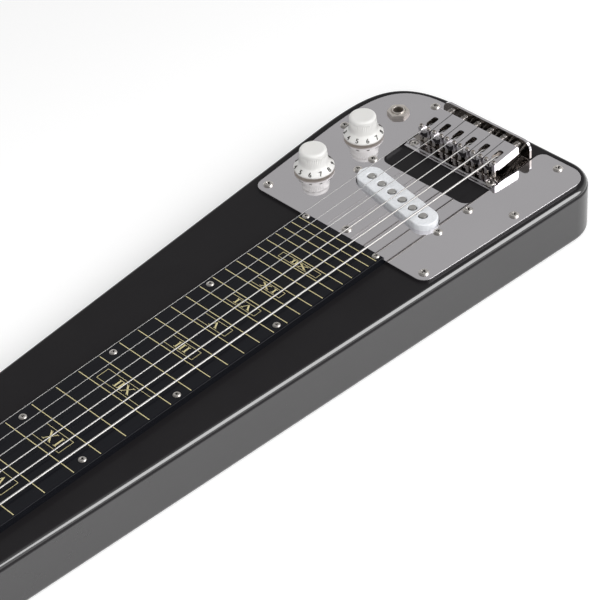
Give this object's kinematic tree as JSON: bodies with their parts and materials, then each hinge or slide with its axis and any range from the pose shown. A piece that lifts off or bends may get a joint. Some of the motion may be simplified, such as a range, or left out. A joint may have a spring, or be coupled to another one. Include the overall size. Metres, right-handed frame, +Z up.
{
  "type": "lap steel guitar",
  "caption": "Electric lap steel guitar with a wedge-shaped black body, printed fretboard, chrome control plate, slanted pickup, skirted knobs and a bridge with sliding saddles.",
  "frame": {"origin": "on the flat underside, below the line where the scale ends at the bridge, midway between the outer strings", "axes": "+X along the strings to the tail, +Y to the treble side with the knobs, +Z up out of the fretboard"},
  "size_m": [0.7571, 0.1817, 0.0587],
  "materials": {
    "lacquered_wood": "gloss black lacquer",
    "printed_board": "satin black with gold print",
    "chrome_plate": "polished chrome",
    "screw_steel": "plated steel",
    "white_plastic": "glossy white",
    "bone": "bone white",
    "coil": "black fibre and wound wire",
    "zinc": "zinc plated",
    "string_steel": "plain and wound steel"
  },
  "bodies": {
    "guitar": {"body": "lacquered_wood", "fretboard": "printed_board", "nut": "bone", "control_plate": "chrome_plate", "plate_screw_front_far": "screw_steel", "plate_screw_front_middle": "screw_steel", "plate_screw_front_near": "screw_steel", "plate_screw_side_near": "screw_steel", "plate_screw_side_far": "screw_steel", "plate_screw_tail_near": "screw_steel", "plate_screw_tail_far": "screw_steel", "bridge_plate": "chrome_plate", "saddle_spring_1": "screw_steel", "saddle_spring_2": "screw_steel", "saddle_spring_3": "screw_steel", "saddle_spring_4": "screw_steel", "saddle_spring_5": "screw_steel", "saddle_spring_6": "screw_steel", "string_1": "string_steel", "string_2": "string_steel", "string_3": "string_steel", "string_4": "string_steel", "string_5": "string_steel", "string_6": "string_steel", "volume_pot": "zinc", "tone_pot": "zinc", "output_jack": "zinc", "jack_nut": "screw_steel", "tuner_plate_treble": "chrome_plate", "tuner_plate_bass": "chrome_plate"},
    "volume_knob": {"volume_knob": "white_plastic"},
    "tone_knob": {"tone_knob": "white_plastic"},
    "pickup": {"pickup_cover": "white_plastic", "pickup_coil": "coil"},
    "pickup_screw_far": {"pickup_screw_far": "screw_steel"},
    "pickup_screw_near": {"pickup_screw_near": "screw_steel"},
    "saddle_1": {"saddle_1": "chrome_plate"},
    "intonation_screw_1": {"intonation_screw_1": "screw_steel"},
    "tuner_button_1": {"tuner_button_1": "chrome_plate"},
    "tuner_post_1": {"tuner_post_1": "chrome_plate"},
    "saddle_2": {"saddle_2": "chrome_plate"},
    "intonation_screw_2": {"intonation_screw_2": "screw_steel"},
    "tuner_button_2": {"tuner_button_2": "chrome_plate"},
    "tuner_post_2": {"tuner_post_2": "chrome_plate"},
    "saddle_3": {"saddle_3": "chrome_plate"},
    "intonation_screw_3": {"intonation_screw_3": "screw_steel"},
    "tuner_button_3": {"tuner_button_3": "chrome_plate"},
    "tuner_post_3": {"tuner_post_3": "chrome_plate"},
    "saddle_4": {"saddle_4": "chrome_plate"},
    "intonation_screw_4": {"intonation_screw_4": "screw_steel"},
    "tuner_button_4": {"tuner_button_4": "chrome_plate"},
    "tuner_post_4": {"tuner_post_4": "chrome_plate"},
    "saddle_5": {"saddle_5": "chrome_plate"},
    "intonation_screw_5": {"intonation_screw_5": "screw_steel"},
    "tuner_button_5": {"tuner_button_5": "chrome_plate"},
    "tuner_post_5": {"tuner_post_5": "chrome_plate"},
    "saddle_6": {"saddle_6": "chrome_plate"},
    "intonation_screw_6": {"intonation_screw_6": "screw_steel"},
    "tuner_button_6": {"tuner_button_6": "chrome_plate"},
    "tuner_post_6": {"tuner_post_6": "chrome_plate"}
  },
  "joints": [
    {"name": "volume_turn", "type": "hinge", "parent": "guitar", "child": "volume_knob", "pos_m": [-0.068, 0.065, 0.042], "axis": [0, 0, -1], "range_deg": [-183, 117]},
    {"name": "tone_turn", "type": "hinge", "parent": "guitar", "child": "tone_knob", "pos_m": [-0.0206, 0.065, 0.042], "axis": [0, 0, -1], "range_deg": [-150, 150]},
    {"name": "pickup_height", "type": "slide", "parent": "guitar", "child": "pickup", "axis": [0, 0, 1], "range_m": [-0.002, 0.0015]},
    {"name": "pickup_screw_far_turn", "type": "hinge", "parent": "guitar", "child": "pickup_screw_far", "pos_m": [-0.05034, 0.04189, 0.042], "axis": [0, 0, -1], "range_deg": [-1440, 1080]},
    {"name": "pickup_screw_near_turn", "type": "hinge", "parent": "guitar", "child": "pickup_screw_near", "pos_m": [-0.06466, -0.04189, 0.042], "axis": [0, 0, -1], "range_deg": [-1440, 1080]},
    {"name": "intonation_1_turn", "type": "hinge", "parent": "guitar", "child": "intonation_screw_1", "pos_m": [0.0318, 0.0285, 0.0512], "axis": [-1, 0, 0], "range_deg": [-1800, 1800]},
    {"name": "saddle_1_slide", "type": "slide", "parent": "guitar", "child": "saddle_1", "axis": [1, 0, 0], "range_m": [-0.0025, 0.0025], "deforming": ["saddle_spring_1"]},
    {"name": "intonation_2_turn", "type": "hinge", "parent": "guitar", "child": "intonation_screw_2", "pos_m": [0.0318, 0.0171, 0.0512], "axis": [-1, 0, 0], "range_deg": [-1800, 1800]},
    {"name": "saddle_2_slide", "type": "slide", "parent": "guitar", "child": "saddle_2", "axis": [1, 0, 0], "range_m": [-0.0025, 0.0025], "deforming": ["saddle_spring_2"]},
    {"name": "intonation_3_turn", "type": "hinge", "parent": "guitar", "child": "intonation_screw_3", "pos_m": [0.0318, 0.0057, 0.0512], "axis": [-1, 0, 0], "range_deg": [-1800, 1800]},
    {"name": "saddle_3_slide", "type": "slide", "parent": "guitar", "child": "saddle_3", "axis": [1, 0, 0], "range_m": [-0.0025, 0.0025], "deforming": ["saddle_spring_3"]},
    {"name": "intonation_4_turn", "type": "hinge", "parent": "guitar", "child": "intonation_screw_4", "pos_m": [0.0318, -0.0057, 0.0512], "axis": [-1, 0, 0], "range_deg": [-1800, 1800]},
    {"name": "saddle_4_slide", "type": "slide", "parent": "guitar", "child": "saddle_4", "axis": [1, 0, 0], "range_m": [-0.0025, 0.0025], "deforming": ["saddle_spring_4"]},
    {"name": "intonation_5_turn", "type": "hinge", "parent": "guitar", "child": "intonation_screw_5", "pos_m": [0.0318, -0.0171, 0.0512], "axis": [-1, 0, 0], "range_deg": [-1800, 1800]},
    {"name": "saddle_5_slide", "type": "slide", "parent": "guitar", "child": "saddle_5", "axis": [1, 0, 0], "range_m": [-0.0025, 0.0025], "deforming": ["saddle_spring_5"]},
    {"name": "intonation_6_turn", "type": "hinge", "parent": "guitar", "child": "intonation_screw_6", "pos_m": [0.0318, -0.0285, 0.0512], "axis": [-1, 0, 0], "range_deg": [-1800, 1800]},
    {"name": "saddle_6_slide", "type": "slide", "parent": "guitar", "child": "saddle_6", "axis": [1, 0, 0], "range_m": [-0.0025, 0.0025], "deforming": ["saddle_spring_6"]},
    {"name": "tuner_button_1_turn", "type": "hinge", "parent": "guitar", "child": "tuner_button_1", "pos_m": [-0.6052, 0.0215, 0.0086], "axis": [0, 1, 0], "continuous": true},
    {"name": "tuner_post_1_turn", "type": "hinge", "parent": "guitar", "child": "tuner_post_1", "pos_m": [-0.6135, 0.0215, 0.03], "axis": [0, 0, 1], "continuous": true},
    {"name": "tuner_button_2_turn", "type": "hinge", "parent": "guitar", "child": "tuner_button_2", "pos_m": [-0.6402, 0.0215, 0.0086], "axis": [0, 1, 0], "continuous": true},
    {"name": "tuner_post_2_turn", "type": "hinge", "parent": "guitar", "child": "tuner_post_2", "pos_m": [-0.6485, 0.0215, 0.03], "axis": [0, 0, 1], "continuous": true},
    {"name": "tuner_button_3_turn", "type": "hinge", "parent": "guitar", "child": "tuner_button_3", "pos_m": [-0.6752, 0.0215, 0.0086], "axis": [0, 1, 0], "continuous": true},
    {"name": "tuner_post_3_turn", "type": "hinge", "parent": "guitar", "child": "tuner_post_3", "pos_m": [-0.6835, 0.0215, 0.03], "axis": [0, 0, 1], "continuous": true},
    {"name": "tuner_button_4_turn", "type": "hinge", "parent": "guitar", "child": "tuner_button_4", "pos_m": [-0.6752, -0.0215, 0.0086], "axis": [0, -1, 0], "continuous": true},
    {"name": "tuner_post_4_turn", "type": "hinge", "parent": "guitar", "child": "tuner_post_4", "pos_m": [-0.6835, -0.0215, 0.03], "axis": [0, 0, 1], "continuous": true},
    {"name": "tuner_button_5_turn", "type": "hinge", "parent": "guitar", "child": "tuner_button_5", "pos_m": [-0.6402, -0.0215, 0.0086], "axis": [0, -1, 0], "continuous": true},
    {"name": "tuner_post_5_turn", "type": "hinge", "parent": "guitar", "child": "tuner_post_5", "pos_m": [-0.6485, -0.0215, 0.03], "axis": [0, 0, 1], "continuous": true},
    {"name": "tuner_button_6_turn", "type": "hinge", "parent": "guitar", "child": "tuner_button_6", "pos_m": [-0.6052, -0.0215, 0.0086], "axis": [0, -1, 0], "continuous": true},
    {"name": "tuner_post_6_turn", "type": "hinge", "parent": "guitar", "child": "tuner_post_6", "pos_m": [-0.6135, -0.0215, 0.03], "axis": [0, 0, 1], "continuous": true}
  ],
  "couplings": [
    {"joint": "pickup_screw_far_turn", "follows": "pickup_height", "rad_per_m": 12566},
    {"joint": "pickup_screw_near_turn", "follows": "pickup_height", "rad_per_m": 12566},
    {"joint": "intonation_1_turn", "follows": "saddle_1_slide", "rad_per_m": 12566},
    {"joint": "intonation_2_turn", "follows": "saddle_2_slide", "rad_per_m": 12566},
    {"joint": "intonation_3_turn", "follows": "saddle_3_slide", "rad_per_m": 12566},
    {"joint": "intonation_4_turn", "follows": "saddle_4_slide", "rad_per_m": 12566},
    {"joint": "intonation_5_turn", "follows": "saddle_5_slide", "rad_per_m": 12566},
    {"joint": "intonation_6_turn", "follows": "saddle_6_slide", "rad_per_m": 12566},
    {"joint": "tuner_post_1_turn", "follows": "tuner_button_1_turn", "ratio": 0.071429},
    {"joint": "tuner_post_2_turn", "follows": "tuner_button_2_turn", "ratio": 0.071429},
    {"joint": "tuner_post_3_turn", "follows": "tuner_button_3_turn", "ratio": 0.071429},
    {"joint": "tuner_post_4_turn", "follows": "tuner_button_4_turn", "ratio": -0.071429},
    {"joint": "tuner_post_5_turn", "follows": "tuner_button_5_turn", "ratio": -0.071429},
    {"joint": "tuner_post_6_turn", "follows": "tuner_button_6_turn", "ratio": -0.071429}
  ]
}
